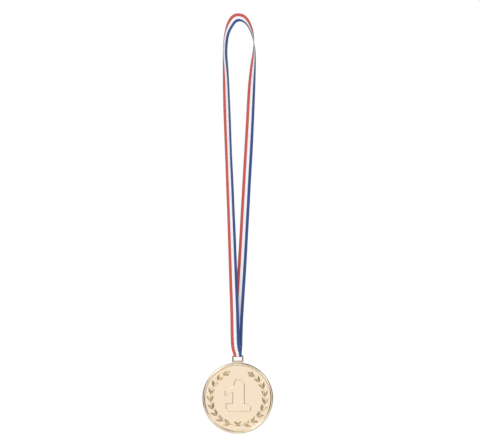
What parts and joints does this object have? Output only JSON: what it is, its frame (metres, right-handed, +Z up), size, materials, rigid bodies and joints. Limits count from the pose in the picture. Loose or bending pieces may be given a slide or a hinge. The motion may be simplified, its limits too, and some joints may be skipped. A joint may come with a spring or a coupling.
{
  "type": "award medal",
  "caption": "Round gold award medal with a laurel wreath and a raised numeral one, hung by a wire ring from a narrow red, white and blue neck ribbon.",
  "frame": {"origin": "the point inside the top of the ribbon loop that the medal hangs from", "axes": "+Z up, -Y the way the medal's front faces, +X to the right of someone who looks at the front"},
  "size_m": [0.07, 0.0091, 0.4159],
  "materials": {
    "ribbon": "woven red, white and blue stripes of equal width",
    "thread": "white polyester thread",
    "ring_wire": "pale gold plated, polished",
    "gold_front": "pale gold metallised, polished",
    "gold_back": "pale gold metallised, satin field and polished rim"
  },
  "bodies": {
    "ribbon": {"neck_ribbon": "ribbon", "seam_stitches": "thread"},
    "ring": {"ribbon_ring": "ring_wire"},
    "medal": {"front_shell": "gold_front", "back_shell": "gold_back"}
  },
  "joints": [
    {"name": "ring_swing", "type": "hinge", "parent": "ribbon", "child": "ring", "pos_m": [0, 0, -0.3302], "axis": [1, 0, 0], "range_deg": [-75, 75]},
    {"name": "medal_swing", "type": "hinge", "parent": "ring", "child": "medal", "pos_m": [0, 0, -0.3362], "axis": [1, 0, 0], "range_deg": [-90, 90]}
  ]
}
